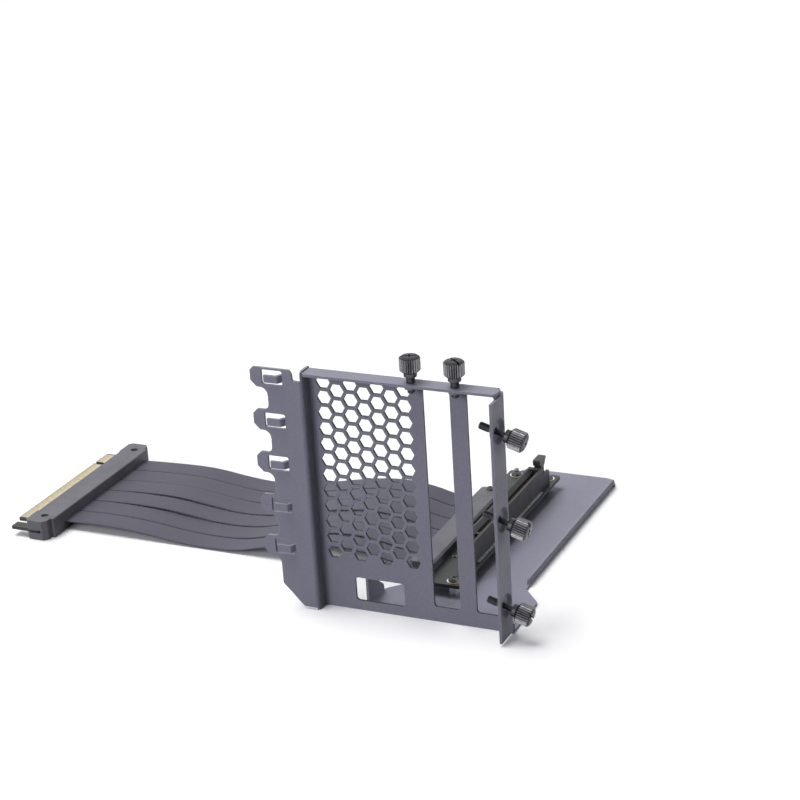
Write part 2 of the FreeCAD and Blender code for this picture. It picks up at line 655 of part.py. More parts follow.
def slot_housing():
    """Card edge socket: a bar with a keyed groove, and two ears for the latch at its far end."""
    x0, x1 = CARD_SLOT_X - CARD_SLOT_W / 2, CARD_SLOT_X + CARD_SLOT_W / 2
    y0, y1 = CARD_SLOT_NEAR_Y, CARD_SLOT_NEAR_Y + CARD_SLOT_L
    top = BOARD_TOP + CARD_SLOT_H
    bar = block(x0, x1, y0, y1, BOARD_TOP, top)
    floor = top - GROOVE_DEPTH
    key = y0 + KEY_FROM_NEAR
    g = GROOVE_W / 2
    near = block(CARD_SLOT_X - g, CARD_SLOT_X + g, y0 + GROOVE_END, key, floor, top + 1)
    far = block(CARD_SLOT_X - g, CARD_SLOT_X + g, key + KEY_W, y1 - GROOVE_END, floor, top + 1)
    bevel = [
        (CARD_SLOT_X - 3 * g, top, 0), (CARD_SLOT_X + 3 * g, top, 0),
        (CARD_SLOT_X + g, top - GROOVE_W, 0), (CARD_SLOT_X - g, top - GROOVE_W, 0),
    ]
    mouth = outline(bevel, flat_xz(y0 + GROOVE_END))
    bar = bar.cut([near, far, mouth.extrude(V(0, CARD_SLOT_L - 2 * GROOVE_END, 0))])
    ears = []
    for x in (x0, x1 - LATCH_EAR_T):
        ears.append(block(x, x + LATCH_EAR_T, y1, y1 + LATCH_EAR_L, BOARD_TOP, BOARD_TOP + LATCH_EAR_H))
    hole = bore(LATCH_PIVOT_R + RUNNING_GAP, CARD_SLOT_W,
                V(x0, y1 + LATCH_PIVOT_Y, BOARD_TOP + LATCH_PIVOT_Z), V(1, 0, 0))
    return bar.fuse(ears).cut(hole).removeSplitter()


def slot_latch():
    """Retention lever between the ears: a hook towards the card and a thumb pad outwards."""
    y1 = CARD_SLOT_NEAR_Y + CARD_SLOT_L
    width = CARD_SLOT_W - 2 * LATCH_EAR_T - 2 * LATCH_GAP
    left = CARD_SLOT_X - width / 2
    py, pz = y1 + LATCH_PIVOT_Y, BOARD_TOP + LATCH_PIVOT_Z
    back = py + LATCH_T / 2
    front = py - LATCH_T / 2
    top = BOARD_TOP + LATCH_H
    shoulder = BOARD_TOP + CARD_SLOT_H + LATCH_GAP
    heel = BOARD_TOP + LATCH_PIVOT_Z - LATCH_T / 2
    beak = front - LATCH_BEAK
    pad = back + LATCH_HOOK
    profile = [
        (front, heel, LATCH_EDGE_R), (back, heel, LATCH_EDGE_R), (back, shoulder - LATCH_T / 2, LATCH_EDGE_R),
        (pad, shoulder + LATCH_T / 2, LATCH_EDGE_R), (pad, top, LATCH_EDGE_R),
        (beak, top, LATCH_EDGE_R), (beak, shoulder, LATCH_BEAK_R), (front, shoulder, LATCH_BEAK_R),
    ]
    lever = outline(profile, flat_yz(left)).extrude(V(width, 0, 0))
    end = V(CARD_SLOT_X - CARD_SLOT_W / 2 + RUNNING_GAP, py, pz)
    trunnion = Part.makeCylinder(LATCH_PIVOT_R, CARD_SLOT_W - 2 * RUNNING_GAP, end, V(1, 0, 0))
    return lever.fuse(trunnion).removeSplitter()


def bar_plan(x0, x1, y0, y1):
    """A bar from above, with clipped corners."""
    c = COVER_END_CUT
    return [
        (x0, y0 + c, 0), (x0 + c, y0, 0), (x1 - c, y0, 0), (x1, y0 + c, 0),
        (x1, y1 - c, 0), (x1 - c, y1, 0), (x0 + c, y1, 0), (x0, y1 - c, 0),
    ]


def plug_plan(x0, x1, y0, y1):
    """The plug from above: ends proud on the finger side, tips set back on the cable side."""
    c = COVER_END_CUT
    tip = x1 - PLUG_TIP_SHY
    waist = x0 + PLUG_END_PROUD
    near, far = y0 + PLUG_END_L, y1 - PLUG_END_L
    return [
        (x0, y0 + c, 0), (x0 + c, y0, 0), (tip - c, y0, 0), (tip, y0 + c, 0),
        (tip, y0 + PLUG_TIP_L, 0), (x1, y0 + PLUG_TIP_L, 0),
        (x1, y1 - PLUG_TIP_L, 0), (tip, y1 - PLUG_TIP_L, 0),
        (tip, y1 - c, 0), (tip - c, y1, 0), (x0 + c, y1, 0), (x0, y1 - c, 0),
        (x0, far, 0), (waist, far - PLUG_END_PROUD, 0), (waist, near + PLUG_END_PROUD, 0), (x0, near, 0),
    ]


def bar_shell(plan, x0, x1, y0, y1, z0, z1, b, bevel_up):
    """Moulded half of a cover or plug, raised from its plan, with bevelled long edges."""
    bar = outline(plan, flat_xy(z0)).extrude(V(0, 0, z1 - z0))
    outer, inner = (z1, z0) if bevel_up else (z0, z1)
    step = b if bevel_up else -b
    side = [
        (x0, inner, 0), (x1, inner, 0), (x1, outer - step, 0),
        (x1 - b, outer, 0), (x0 + b, outer, 0), (x0, outer - step, 0),
    ]
    return bar.common(outline(side, flat_xz(y0 - 1)).extrude(V(0, y1 - y0 + 2, 0)))


def cover_screw_places():
    x = COVER_FACE_X + COVER_W / 2
    inset = COVER_MARGIN / 2
    return [(x, COVER_NEAR_Y + inset), (x, COVER_NEAR_Y + COVER_L - inset)]


def socket_covers():
    """Upper and lower cable covers, clamped over the board's cable edge."""
    x0, x1 = COVER_FACE_X, COVER_FACE_X + COVER_W
    y0, y1 = COVER_NEAR_Y, COVER_NEAR_Y + COVER_L
    middle = BOARD_Z + BOARD_T / 2
    board = block(BOARD_LEFT, BOARD_RIGHT, BOARD_NEAR_Y, BOARD_FAR_Y, BOARD_Z, BOARD_TOP)
    sides = (bar_plan(x0, x1, y0, y1), x0, x1, y0, y1)
    upper = bar_shell(*sides, middle, BOARD_TOP + COVER_UP, COVER_BEVEL, True).cut(board)
    lower = bar_shell(*sides, LIP_H + COVER_LIP_GAP, middle, COVER_BEVEL, False).cut(board)
    holes = []
    for x, y in cover_screw_places():
        holes.append(bore(COVER_SCREW_R, PLATE_H, V(x, y, 0)))
    return upper.cut(holes), lower


def cover_screws():
    top = BOARD_TOP + COVER_UP
    sizes = (COVER_SCREW_R, COVER_UP, COVER_SCREW_HEAD_R, COVER_SCREW_HEAD_H)
    return Part.makeCompound([pan_screw(x, y, top, *sizes) for x, y in cover_screw_places()])


def strip_points(index):
    """Middle line of one strip, from the socket cover's face to the plug's face."""
    start = (COVER_FACE_X, BOARD_Z + BOARD_T / 2)
    end = (PLUG_FACE_X, PLUG_LOWER_H + BOARD_T / 2)
    share = index / (STRIPS - 1)
    between = []
    for x, near, far, lifted in CABLE_ROUTE:
        between.append((x, near + (far - near) * share + STRIP_LIFT[index] * lifted))
    return [start] + between + [end]


def cable_strip(index):
    """Flat strip swept along straight runs joined by arcs; its bend radii are printed."""
    points = strip_points(index)
    y0 = STRIP_NEAR_Y + index * STRIP_STEP
    plane = flat_xz(y0 + STRIP_W / 2)
    edges = []
    radii = []
    last = points[0]
    for before, here, after in zip(points, points[1:], points[2:]):
        run_in = math.hypot(here[0] - before[0], here[1] - before[1])
        run_out = math.hypot(after[0] - here[0], after[1] - here[1])
        heading_in = math.atan2(here[1] - before[1], here[0] - before[0])
        heading_out = math.atan2(after[1] - here[1], after[0] - here[0])
        turn = (heading_out - heading_in + math.pi) % (2 * math.pi) - math.pi
        radius = ARC_SHARE * min(run_in, run_out) / math.tan(abs(turn) / 2)
        (cx, cz), first, sweep, start, end = corner_arc(before, here, after, radius)
        halfway = first + sweep / 2
        middle = (cx + radius * math.cos(halfway), cz + radius * math.sin(halfway))
        edges.append(Part.LineSegment(plane(*last), plane(*start)).toShape())
        edges.append(Part.Arc(plane(*start), plane(*middle), plane(*end)).toShape())
        radii.append(round(radius))
        last = end
    edges.append(Part.LineSegment(plane(*last), plane(*points[-1])).toShape())
    path = Part.Wire(edges)
    leaving = edges[0].tangentAt(edges[0].FirstParameter)
    up = V(0, 1, 0).cross(leaving) * (STRIP_T / 2)
    side = V(0, STRIP_W / 2, 0)
    base = plane(*points[0])
    ring = [base - side - up, base + side - up, base + side + up, base - side + up]
    section = Part.Wire(Part.makePolygon(ring + ring[:1]))
    strip = path.makePipeShell([section], True, True)
    expected = STRIP_W * STRIP_T * path.Length
    print("strip", index + 1, "length", round(path.Length, 1), "bend radii", radii)
    print("strip", index + 1, "volume over section times length", round(strip.Volume / expected, 4))
    return strip


def plug_shells():
    """Lower and upper halves of the edge plug, with a pocket for its board that is open at the near end."""
    x0, x1 = PLUG_LEFT_X, PLUG_FACE_X
    y0, y1 = PLUG_NEAR_Y, PLUG_NEAR_Y + PLUG_L
    board_top = PLUG_LOWER_H + BOARD_T
    middle = PLUG_LOWER_H + BOARD_T / 2
    top = board_top + PLUG_UPPER_H
    pocket = block(x0 - EDGE_OUT, x1 - PLUG_WALL, y0 - 1, y1 - EDGE_END_MARGIN, PLUG_LOWER_H, board_top)
    sides = (plug_plan(x0, x1, y0, y1), x0, x1, y0, y1)
    lower = bar_shell(*sides, 0, middle, PLUG_BEVEL, False).cut(pocket)
    upper = bar_shell(*sides, middle, top, PLUG_BEVEL, True).cut(pocket)
    holes = []
    for x, y in plug_screw_places():
        holes.append(bore(COVER_SCREW_R, PLUG_UPPER_H, V(x, y, board_top)))
        holes.append(bore(PLUG_SINK_R, PLUG_SCREW_SINK + 1, V(x, y, top - PLUG_SCREW_SINK)))
    return lower, upper.cut(holes)


def plug_screw_places():
    x = PLUG_LEFT_X + (PLUG_W + PLUG_END_PROUD) / 2
    return [(x, PLUG_NEAR_Y + PLUG_SCREW_INSET), (x, PLUG_NEAR_Y + PLUG_L - PLUG_SCREW_INSET)]


def plug_screws():
    """Two small screws sunk in the plug's upper half."""
    under_head = PLUG_LOWER_H + BOARD_T + PLUG_UPPER_H - PLUG_SCREW_SINK
    sizes = (COVER_SCREW_R, PLUG_UPPER_H - PLUG_SCREW_SINK, PLUG_SCREW_HEAD_R, PLUG_SCREW_HEAD_H)
    return Part.makeCompound([pan_screw(x, y, under_head, *sizes) for x, y in plug_screw_places()])


def edge_board():
    """Contact board of the plug: finger edge with its key notch, and the locking tab at the near end."""
    x0 = PLUG_LEFT_X - EDGE_OUT
    x1 = PLUG_FACE_X - PLUG_WALL
    y0, y1 = EDGE_NEAR_Y, EDGE_NEAR_Y + EDGE_L
    key = y1 - EDGE_KEY_FROM_FAR
    half = EDGE_KEY_W / 2
    key_end = PLUG_LEFT_X - EDGE_KEY_END
    far = PLUG_NEAR_Y + PLUG_L - EDGE_END_MARGIN
    inside = PLUG_LEFT_X + PLUG_END_PROUD
    tab_left = PLUG_LEFT_X - EDGE_TAB_OUT
    tab_near = PLUG_NEAR_Y + EDGE_TAB_INSET
    tab_far = tab_near + EDGE_TAB_W
    near = PLUG_NEAR_Y + EDGE_END_MARGIN
    plan = [
        (x0, y0, EDGE_LEAD_R), (x0, key - half, 0), (key_end, key - half, EDGE_INNER_R),
        (key_end, key + half, EDGE_INNER_R), (x0, key + half, 0), (x0, y1, EDGE_LEAD_R),
        (inside, y1, 0), (inside, far, 0), (x1, far, 0), (x1, near, 0), (inside + EDGE_TAB_W, near, 0),
        (inside + EDGE_TAB_W, tab_near, 0),
        (tab_left, tab_near, EDGE_INNER_R), (tab_left, tab_far, EDGE_INNER_R),
        (inside, tab_far, EDGE_INNER_R), (inside, y0, EDGE_INNER_R),
    ]
    return outline(plan, flat_xy(PLUG_LOWER_H)).extrude(V(0, 0, BOARD_T))


def edge_fingers():
    """Gold contact bands on both faces of the finger edge, parted at the key notch."""
    bands = []
    x0 = PLUG_LEFT_X - EDGE_OUT + FINGER_EDGE_GAP
    key = EDGE_NEAR_Y + EDGE_L - EDGE_KEY_FROM_FAR
    side_gap = EDGE_KEY_W / 2 + FINGER_SIDE_GAP
    near, far = EDGE_NEAR_Y + FINGER_SIDE_GAP, EDGE_NEAR_Y + EDGE_L - FINGER_SIDE_GAP
    spans = ((near, key - side_gap), (key + side_gap, far))
    for y0, y1 in spans:
        for z in (PLUG_LOWER_H + BOARD_T, PLUG_LOWER_H - FINGER_T):
            bands.append(block(x0, x0 + FINGER_L, y0, y1, z, z + FINGER_T))
    return Part.makeCompound(bands)


def pieces():
    made = {"rear_bracket": rear_bracket()}
    for i, name in enumerate(("left", "right")):
        made["top_thumbscrew_" + name] = top_thumbscrew(TOP_SCREW_X + i * SLOT_PITCH)
    for i, name in enumerate(("lower", "middle", "upper")):
        made["side_thumbscrew_" + name] = side_thumbscrew(SIDE_SCREW_Z + i * SIDE_SCREW_PITCH)
    made["board_standoffs"] = board_standoffs()
    made["socket_board"] = socket_board()
    made["board_screws"] = board_screws()
    made["slot_housing"] = slot_housing()
    made["slot_latch"] = slot_latch()
    made["socket_cover_upper"], made["socket_cover_lower"] = socket_covers()
    made["socket_cover_screws"] = cover_screws()
    for index in range(STRIPS):
        made["ribbon_strip_" + str(index + 1)] = cable_strip(index)
    made["plug_lower_shell"], made["plug_upper_shell"] = plug_shells()
    made["plug_screws"] = plug_screws()
    made["edge_board"] = edge_board()
    made["edge_fingers"] = edge_fingers()
    return made


os.makedirs("parts", exist_ok=True)
for node, shape in pieces().items():
    shape.translate(-ORIGIN)
    shape.exportStep("parts/" + node + ".step")
    print(node, "solids", len(shape.Solids), "valid", shape.isValid(), "volume", round(shape.Volume, 1))
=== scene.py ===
import json
import math

import bmesh
import bpy
from mathutils import Matrix, Vector


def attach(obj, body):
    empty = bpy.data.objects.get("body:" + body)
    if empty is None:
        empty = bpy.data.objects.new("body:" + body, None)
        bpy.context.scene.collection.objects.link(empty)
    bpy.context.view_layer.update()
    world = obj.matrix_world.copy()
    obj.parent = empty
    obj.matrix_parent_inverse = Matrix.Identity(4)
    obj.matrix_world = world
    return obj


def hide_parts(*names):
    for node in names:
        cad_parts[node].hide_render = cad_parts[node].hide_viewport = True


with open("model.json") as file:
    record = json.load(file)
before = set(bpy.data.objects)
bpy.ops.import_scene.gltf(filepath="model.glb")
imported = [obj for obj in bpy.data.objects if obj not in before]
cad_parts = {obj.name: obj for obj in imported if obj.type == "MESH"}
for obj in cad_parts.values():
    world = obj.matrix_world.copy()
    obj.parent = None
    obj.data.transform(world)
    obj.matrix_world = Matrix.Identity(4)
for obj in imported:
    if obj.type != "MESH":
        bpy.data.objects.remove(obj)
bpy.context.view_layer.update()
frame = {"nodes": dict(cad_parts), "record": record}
scene = bpy.context.scene
nodes = frame["nodes"]

# Shapes are written in millimetres, counted as in the CAD source from the plate's lower left
# front corner. The shared frame's origin lies at this place of that count.
ORIGIN = Vector((51.7, 85.0, 0.0))
MM = 0.001
TOUCH_M = 1e-6


def mm(x, y, z):
    """A vector in millimetres, given in metres."""
    return Vector((x, y, z)) * MM


def at(x, y, z):
    """A place counted as in the CAD source, in metres of the shared frame."""
    return (Vector((x, y, z)) - ORIGIN) * MM


def add_object(name, data):
    obj = bpy.data.objects.new(name, data)
    scene.collection.objects.link(obj)
    return obj


# Camera, fitted to the photograph

LENS_MM = 99.4408
SENSOR_MM = 36.0
CLIP_NEAR_M = 0.01
CLIP_FAR_M = 100.0
CAMERA_AT = at(422.99, -794.46, 450.29)
CAMERA_RIGHT = Vector((0.91025515, 0.41002907, -0.0575475))
CAMERA_UP = Vector((-0.10161815, 0.35596881, 0.92895638))
CAMERA_BACK = Vector((0.40138424, -0.83973946, 0.36568884))


def make_camera():
    data = bpy.data.cameras.new("camera")
    data.lens = LENS_MM
    data.sensor_width = SENSOR_MM
    data.sensor_fit = "AUTO"
    data.clip_start = CLIP_NEAR_M
    data.clip_end = CLIP_FAR_M
    camera = add_object("camera", data)
    turn = Matrix((CAMERA_RIGHT, CAMERA_UP, CAMERA_BACK)).transposed()
    camera.matrix_world = Matrix.Translation(CAMERA_AT) @ turn.to_4x4()
    scene.camera = camera


# Sizes that materials share with shapes

SHEET_T = 1.2
HEAD_R = 4.6
HEAD_L = 7.2
RIBS = 26
RIB_DEPTH = 0.55

# Shader nodes


class Tree:
    """The shader nodes of a material or the world, with short ways to add and join them."""

    def __init__(self, owner, shader):
        owner.use_nodes = True
        self.owner = owner
        self.nodes = owner.node_tree.nodes
        self.links = owner.node_tree.links
        self.shader = self.nodes[shader]
        self.coordinates = self.add("ShaderNodeTexCoord").outputs

    def add(self, kind, **values):
        node = self.nodes.new(kind)
        for key, value in values.items():
            setattr(node, key, value)
        return node

    def join(self, out, socket):
        self.links.new(out, socket)

    def axis(self, letter, kind="Object"):
        """One axis of the place, or of another kind of coordinates."""
        node = self.add("ShaderNodeSeparateXYZ")
        self.join(self.coordinates[kind], node.inputs[0])
        return node.outputs[letter]

    def noise(self, scale, detail=2.0, rough=0.5, stretch=None):
        node = self.add("ShaderNodeTexNoise")
        node.inputs["Scale"].default_value = scale
        node.inputs["Detail"].default_value = detail
        node.inputs["Roughness"].default_value = rough
        source = self.coordinates["Object"]
        if stretch:
            mapping = self.add("ShaderNodeMapping")
            mapping.inputs["Scale"].default_value = stretch
            self.join(source, mapping.inputs["Vector"])
            source = mapping.outputs["Vector"]
        self.join(source, node.inputs["Vector"])
        return node.outputs["Fac"]

    def cloud(self, scale, detail=2.0, rough=0.5, stretch=None):
        """Noise spread from 0 to 1."""
        return self.remap(self.noise(scale, detail, rough, stretch), 0.3, 0.7, 0.0, 1.0)

    def wave(self, letter, pitch):
        """A sine from -1 to 1 along an axis; its pitch is in metres."""
        return self.math("SINE", self.math("MULTIPLY", self.axis(letter), 2 * math.pi / pitch))

    def remap(self, source, low, high, to_low, to_high):
        node = self.add("ShaderNodeMapRange")
        node.inputs["From Min"].default_value = low
        node.inputs["From Max"].default_value = high
        node.inputs["To Min"].default_value = to_low
        node.inputs["To Max"].default_value = to_high
        self.join(source, node.inputs["Value"])
        return node.outputs["Result"]

    def math(self, operation, a, b=0.0):
        node = self.add("ShaderNodeMath", operation=operation)
        for value, socket in ((a, node.inputs[0]), (b, node.inputs[1])):
            if isinstance(value, (int, float)):
                socket.default_value = value
            else:
                self.join(value, socket)
        return node.outputs["Value"]

    def mix(self, share, a, b):
        node = self.add("ShaderNodeMix", data_type="RGBA")
        for value, socket in ((a, node.inputs[6]), (b, node.inputs[7])):
            if isinstance(value, tuple):
                socket.default_value = (*value, 1.0)
            else:
                self.join(value, socket)
        self.join(share, node.inputs[0])
        return node.outputs[2]

    def edges(self, radius):
        """1 on sharp edges, 0 on flats, from the difference a small rounding makes."""
        bevel = self.add("ShaderNodeBevel", samples=6)
        bevel.inputs["Radius"].default_value = radius
        geometry = self.add("ShaderNodeNewGeometry")
        dot = self.add("ShaderNodeVectorMath", operation="DOT_PRODUCT")
        self.join(bevel.outputs["Normal"], dot.inputs[0])
        self.join(geometry.outputs["Normal"], dot.inputs[1])
        return self.remap(dot.outputs["Value"], 0.98, 0.80, 0.0, 1.0)

    def bump(self, height, distance, strength=1.0, under=None):
        node = self.add("ShaderNodeBump")
        node.inputs["Strength"].default_value = strength
        node.inputs["Distance"].default_value = distance
        self.join(height, node.inputs["Height"])
        if under is not None:
            self.join(under, node.inputs["Normal"])
        return node.outputs["Normal"]

    def set(self, **values):
        for key, value in values.items():
            self.shader.inputs[key.replace("_", " ")].default_value = value

    def feed(self, out, socket):
        self.join(out, self.shader.inputs[socket])


def paint(name):
    return Tree(bpy.data.materials.new(name), "Principled BSDF")


# Materials

RIBBON_RIB_PITCH_M = 0.00088
WEAVE_PITCH_M = 0.00045
TRACE_PITCH_M = 0.001


def hole_wall_shade(t):
    """1 on the walls of the holes punched through the plate, which are darkened there as painted shade.
    """
    sideways = t.remap(t.math("ABSOLUTE", t.axis("Y", "Normal")), 0.3, 0.6, 1.0, 0.0)
    depth = t.axis("Y")
    behind_front = t.math("GREATER_THAN", depth, at(0.0, 0.0, 0.0).y)
    before_back = t.math("LESS_THAN", depth, at(0.0, SHEET_T, 0.0).y)
    return t.math("MULTIPLY", sideways, t.math("MULTIPLY", behind_front, before_back))


def coated_steel(name):
    """Satin powder coat: fine peel, uneven sheen, coat rubbed thin along cut edges, and painted shade
    on the walls of its holes.
    """
    t = paint(name)
    speck = t.remap(t.noise(2600.0, 2.0), 0.45, 0.75, 0.0, 1.0)
    grain = t.remap(t.noise(820.0, 3.0, 0.7), 0.35, 0.65, 0.0, 0.4)
    patchy = t.remap(t.noise(420.0, 3.0), 0.35, 0.65, 0.15, 0.8)
    worn = t.math("MULTIPLY", t.edges(0.00035), patchy)
    base = t.mix(t.cloud(38.0, 4.0, 0.6), (0.220, 0.218, 0.281), (0.248, 0.246, 0.311))
    base = t.mix(grain, base, (0.176, 0.173, 0.225))
    base = t.mix(t.math("MULTIPLY", speck, 0.5), base, (0.35, 0.35, 0.40))
    base = t.mix(worn, base, (0.42, 0.42, 0.46))
    # Painted shade: the walls of the plate's holes are made nearly black.
    base = t.mix(t.math("MULTIPLY", hole_wall_shade(t), 0.92), base, (0.020, 0.020, 0.026))
    t.feed(base, "Base Color")
    sheen = t.remap(t.noise(70.0, 5.0, 0.65), 0.25, 0.75, 0.40, 0.54)
    t.feed(t.math("SUBTRACT", sheen, t.math("MULTIPLY", worn, 0.12)), "Roughness")
    t.set(Metallic=0.0, Specular_IOR_Level=0.25)
    peel = t.bump(t.noise(1300.0, 3.0, 0.6), 0.00012, 0.7)
    t.feed(t.bump(t.noise(5200.0, 1.0), 0.00003, 0.5, peel), "Normal")
    return t.owner


def black_screw_metal(name):
    """Blackened steel with a painted highlight on the crests of its knurl, furthest from its axis."""
    t = paint(name)
    across = []
    for letter in "XY":
        offset = t.axis(letter)
        across.append(t.math("MULTIPLY", offset, offset))
    radius = t.math("SQRT", t.math("ADD", *across))
    groove_r = (HEAD_R - 0.8 * RIB_DEPTH) * MM
    crest_r = (HEAD_R - 0.1 * RIB_DEPTH) * MM
    # Painted highlight: the knurl's crests are made much lighter, as if lit, a little unevenly.
    highlight_patches = t.remap(t.noise(700.0, 3.0), 0.3, 0.7, 0.45, 1.0)
    crest_highlight = t.math("MULTIPLY", t.remap(radius, groove_r, crest_r, 0.0, 1.0), highlight_patches)
    patchy = t.remap(t.noise(900.0, 2.0), 0.35, 0.7, 0.1, 0.6)
    worn = t.math("MULTIPLY", t.edges(0.00018), patchy)
    cloud = t.cloud(600.0, 3.0)
    base = t.mix(cloud, (0.058, 0.057, 0.063), (0.088, 0.087, 0.094))
    base = t.mix(crest_highlight, base, (0.36, 0.355, 0.37))
    t.feed(t.mix(worn, base, (0.42, 0.415, 0.43)), "Base Color")
    t.feed(t.remap(cloud, 0.0, 1.0, 0.30, 0.44), "Roughness")
    t.set(Metallic=0.9)
    t.feed(t.bump(t.noise(4200.0, 2.0), 0.00003, 0.5), "Normal")
    return t.owner


def plated_steel(name, dark, light, rough):
    """Turned and plated metal with fine tool marks."""
    t = paint(name)
    base = t.mix(t.cloud(500.0, 4.0, 0.6), dark, light)
    worn = t.math("MULTIPLY", t.edges(0.00015), 0.5)
    t.feed(t.mix(worn, base, tuple(min(1.0, 1.6 * c + 0.05) for c in light)), "Base Color")
    t.feed(t.remap(t.noise(900.0, 3.0), 0.3, 0.7, rough - 0.06, rough + 0.08), "Roughness")
    t.set(Metallic=1.0)
    t.feed(t.bump(t.noise(3000.0, 2.0, 0.5, (1.0, 1.0, 6.0)), 0.00002, 0.5), "Normal")
    return t.owner


def moulded_plastic(name, dark, light, rough, grain):
    """Moulded plastic with spark-eroded grain and slightly polished edges."""
    t = paint(name)
    patchy = t.remap(t.noise(500.0, 2.0), 0.3, 0.7, 0.2, 0.7)
    worn = t.math("MULTIPLY", t.edges(0.0003), patchy)
    base = t.mix(t.cloud(90.0, 3.0), dark, light)
    t.feed(t.mix(worn, base, tuple(1.7 * c + 0.02 for c in light)), "Base Color")
    uneven = t.remap(t.noise(160.0, 4.0), 0.3, 0.7, rough - 0.05, rough + 0.07)
    t.feed(t.math("SUBTRACT", uneven, t.math("MULTIPLY", worn, 0.15)), "Roughness")
    t.set(Specular_IOR_Level=0.45)
    t.feed(t.bump(t.noise(grain, 2.0, 0.6), 0.00006, 0.6), "Normal")
    return t.owner


def ribbon_sleeve(name):
    """Woven foil sleeve over flat wires: lengthwise ribs, fine cross weave and soft sheen."""
    t = paint(name)
    ribs = t.remap(t.wave("Y", RIBBON_RIB_PITCH_M), -1.0, 1.0, 0.0, 1.0)
    weave = t.remap(t.wave("X", WEAVE_PITCH_M), -1.0, 1.0, 0.0, 1.0)
    cloud = t.cloud(120.0, 4.0, 0.6, (0.25, 1.0, 1.0))
    patchy = t.remap(t.noise(300.0, 3.0), 0.35, 0.65, 0.1, 0.6)
    worn = t.math("MULTIPLY", t.edges(0.0004), patchy)
    base = t.mix(cloud, (0.073, 0.071, 0.094), (0.094, 0.091, 0.120))
    base = t.mix(t.math("MULTIPLY", ribs, 0.25), base, (0.119, 0.117, 0.148))
    t.feed(t.mix(worn, base, (0.15, 0.15, 0.168)), "Base Color")
    t.feed(t.remap(cloud, 0.0, 1.0, 0.46, 0.58), "Roughness")
    t.set(Specular_IOR_Level=0.2, Sheen_Weight=0.05, Sheen_Roughness=0.5)
    lengthwise = t.bump(ribs, 0.00009, 0.55)
    t.feed(t.bump(weave, 0.00002, 0.35, lengthwise), "Normal")
    return t.owner


def solder_mask(name):
    """Black board lacquer: traces show as faint raised lines across the board."""
    t = paint(name)
    lines = t.remap(t.wave("Y", TRACE_PITCH_M), 0.15, 0.45, 0.0, 1.0)
    patches = t.remap(t.noise(75.0, 1.0, 0.4, (0.35, 1.0, 1.0)), 0.42, 0.46, 0.0, 1.0)
    traces = t.math("MULTIPLY", lines, patches)
    worn = t.math("MULTIPLY", t.edges(0.0003), 0.6)
    base = t.mix(traces, (0.012, 0.014, 0.013), (0.023, 0.028, 0.026))
    t.feed(t.mix(worn, base, (0.11, 0.10, 0.07)), "Base Color")
    t.feed(t.remap(t.noise(700.0, 3.0), 0.3, 0.7, 0.28, 0.40), "Roughness")
    t.set(Specular_IOR_Level=0.5)
    t.feed(t.bump(traces, 0.00005, 0.6), "Normal")
    return t.owner


def gold_plating(name):
    """Gold plating over nickel, a little scuffed by plugging."""
    t = paint(name)
    scuff = t.remap(t.noise(900.0, 4.0, 0.6, (0.15, 1.0, 1.0)), 0.35, 0.65, 0.0, 1.0)
    t.feed(t.mix(scuff, (0.94, 0.78, 0.46), (0.98, 0.88, 0.62)), "Base Color")
    t.feed(t.remap(scuff, 0.0, 1.0, 0.26, 0.42), "Roughness")
    t.set(Metallic=0.9)
    t.feed(t.bump(scuff, 0.00001, 0.4), "Normal")
    return t.owner


# Each slot's maker, with the colours and numbers that it needs
FINISHES = {
    "bracket_paint": (coated_steel,),
    "screw_black": (black_screw_metal,),
    "standoff_steel": (plated_steel, (0.50, 0.50, 0.51), (0.62, 0.62, 0.63), 0.30),
    "small_screw_steel": (plated_steel, (0.09, 0.09, 0.10), (0.15, 0.15, 0.16), 0.34),
    "board_black": (solder_mask,),
    "socket_plastic": (moulded_plastic, (0.026, 0.026, 0.029), (0.037, 0.037, 0.042), 0.42, 2600.0),
    "cover_plastic": (moulded_plastic, (0.105, 0.104, 0.122), (0.135, 0.133, 0.154), 0.46, 1900.0),
    "ribbon_sleeve": (ribbon_sleeve,),
    "contact_gold": (gold_plating,),
}
MATERIALS = {name: make(name, *values) for name, (make, *values) in FINISHES.items()}
SLOT_OF = {s["node"]: s["material_slot"] for s in frame["record"]["subparts"]}


def dress(obj, slot_name):
    obj.data.materials.clear()
    obj.data.materials.append(MATERIALS[slot_name])


def finish_piece(obj, body, slot_name, *stands_for):
    """Gives a new piece its slot's material and its body, and hides the nodes that it stands for."""
    dress(obj, slot_name)
    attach(obj, body)
    if stands_for:
        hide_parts(*stands_for)
    return obj


# CAD nodes that stay

SMOOTH_DEG = 34.0
WELD_M = 2e-6
FLAT_DEG = 0.5
ROUNDED_DEG = 40.0
EDGE_ROUND_MM = {
    "rear_bracket": 0.16,
    "slot_housing": 0.2,
    "slot_latch": 0.2,
    "socket_board": 0.1,
    "edge_board": 0.15,
    "socket_cover_upper": 0.35,
    "socket_cover_lower": 0.3,
    "plug_upper_shell": 0.4,
    "plug_lower_shell": 0.4,
    "board_standoffs": 0.15,
}


def soften(obj, width):
    """Welds the carried-over mesh for show, rounds its sharp edges and evens its shading."""
    weld = obj.modifiers.new("weld", "WELD")
    weld.merge_threshold = WELD_M
    flat = obj.modifiers.new("flat", "DECIMATE")
    flat.decimate_type = "DISSOLVE"
    flat.angle_limit = math.radians(FLAT_DEG)
    flat.delimit = {"SHARP"}
    bevel = obj.modifiers.new("edge", "BEVEL")
    bevel.width = width
    bevel.segments = 2
    bevel.limit_method = "ANGLE"
    bevel.angle_limit = math.radians(ROUNDED_DEG)
    bevel.use_clamp_overlap = True
    even = obj.modifiers.new("even", "WEIGHTED_NORMAL")
    even.keep_sharp = True
    even.weight = 80


